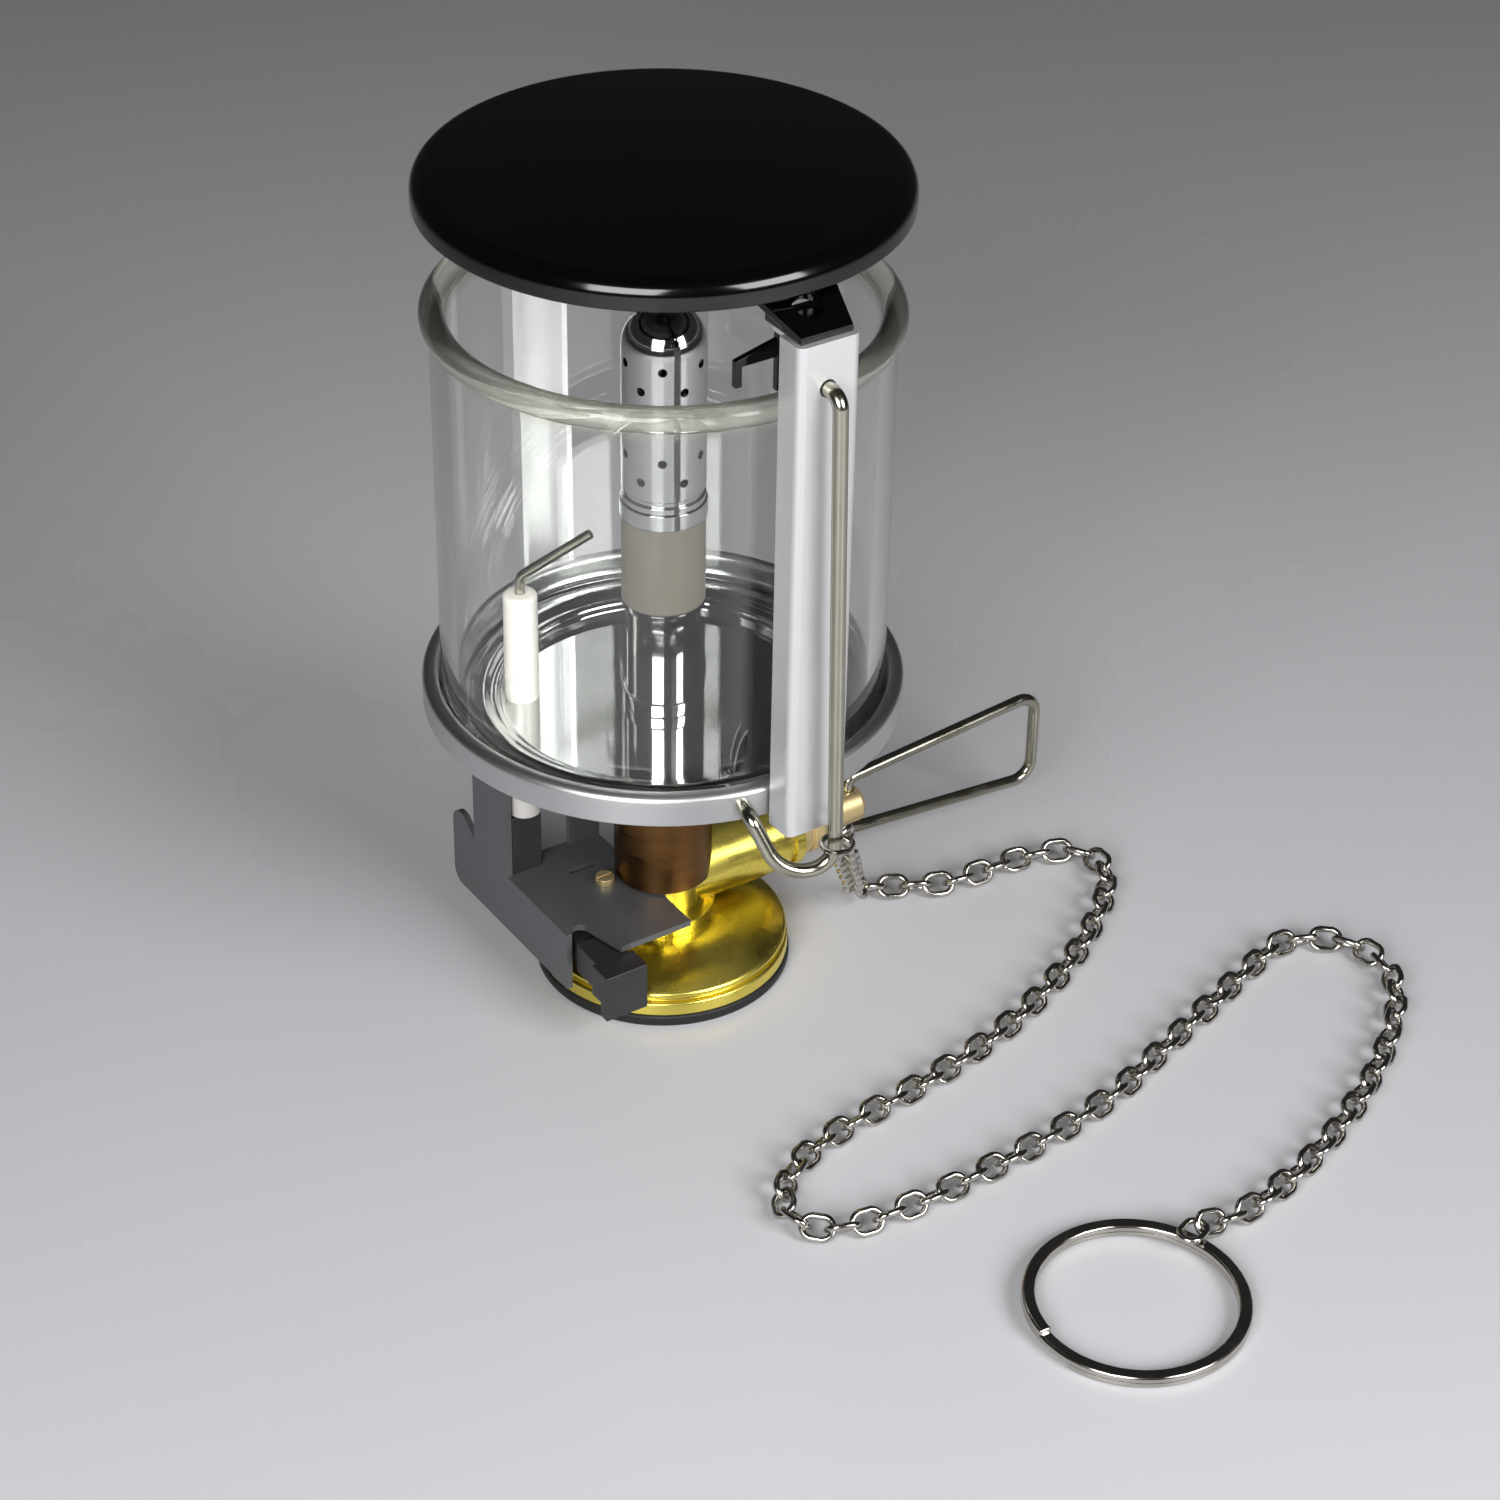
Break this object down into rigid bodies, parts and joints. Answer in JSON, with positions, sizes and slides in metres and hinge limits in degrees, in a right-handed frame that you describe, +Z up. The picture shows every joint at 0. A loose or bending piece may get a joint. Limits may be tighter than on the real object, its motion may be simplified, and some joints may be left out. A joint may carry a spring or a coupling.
{
  "type": "gas lantern",
  "caption": "Small canister gas lantern with a black hood on struts, an open glass globe, a perforated burner, a brass valve with a folding wire handle, a spark igniter and a hanging chain.",
  "frame": {"origin": "on the lantern's axis, in the plane of the foot ring that it stands on", "axes": "+Z up along the burner, +X along the valve spindle towards its handle, -Y towards the strut with the rail wire"},
  "size_m": [0.1045, 0.1305, 0.1098],
  "materials": {
    "rubber_black": "matte",
    "brass_polished": "polished, lightly tarnished",
    "brass_golden": "satin",
    "bronze": "dark, oxidised",
    "steel_bright": "bright drawn wire",
    "steel_grey": "plain grey sheet",
    "stainless_polished": "polished",
    "nickel": "nickel plated",
    "enamel_black": "gloss black",
    "glass_clear": "clear, faint yellow-green",
    "ceramic_grey": "matte",
    "ceramic_white": "satin",
    "plastic_black": "matte"
  },
  "bodies": {
    "lantern": {"base_ring": "rubber_black", "base_disc": "brass_polished", "canister_seal": "rubber_black", "valve_pin": "steel_bright", "valve_body": "brass_polished", "jet": "brass_polished", "packing_nut": "brass_golden", "spindle_oring": "rubber_black", "mixer_column": "bronze", "tray": "stainless_polished", "burner_tube": "stainless_polished", "burner_sleeve": "ceramic_grey", "mantle_collar": "stainless_polished", "burner_head": "stainless_polished", "glass_globe": "glass_clear", "front_strut": "stainless_polished", "rear_strut": "stainless_polished", "hood_arm": "enamel_black", "arm_rivets": "steel_bright", "hood": "enamel_black", "rail_wire": "steel_bright", "hanging_chain": "nickel", "split_ring": "nickel", "igniter_bracket": "steel_grey", "bracket_screw": "brass_golden", "igniter_body": "plastic_black", "electrode_insulator": "ceramic_white", "electrode_wire": "steel_bright", "ignition_lead": "plastic_black"},
    "spindle": {"valve_spindle": "steel_bright", "spindle_knob": "brass_golden"},
    "handle": {"valve_handle": "steel_bright"},
    "chain_ring": {"chain_end_link": "nickel"},
    "button": {"igniter_button": "plastic_black"}
  },
  "joints": [
    {"name": "valve_turn", "type": "hinge", "parent": "lantern", "child": "spindle", "pos_m": [0.0185, 0, 0.012], "axis": [1, 0, 0], "range_deg": [0, 540]},
    {"name": "handle_fold", "type": "hinge", "parent": "spindle", "child": "handle", "pos_m": [0.028, 0, 0.012], "axis": [0, 0, 1], "range_deg": [-90, 90]},
    {"name": "chain_slide", "type": "slide", "parent": "lantern", "child": "chain_ring", "axis": [-0.0196, 0.0033, 0.9998], "range_m": [0, 0.055], "deforming": ["hanging_chain"]},
    {"name": "igniter_press", "type": "slide", "parent": "lantern", "child": "button", "axis": [0, 1, 0], "range_m": [0, 0.003], "stiffness_N_per_m": 1500, "springref_m": -0.001}
  ]
}
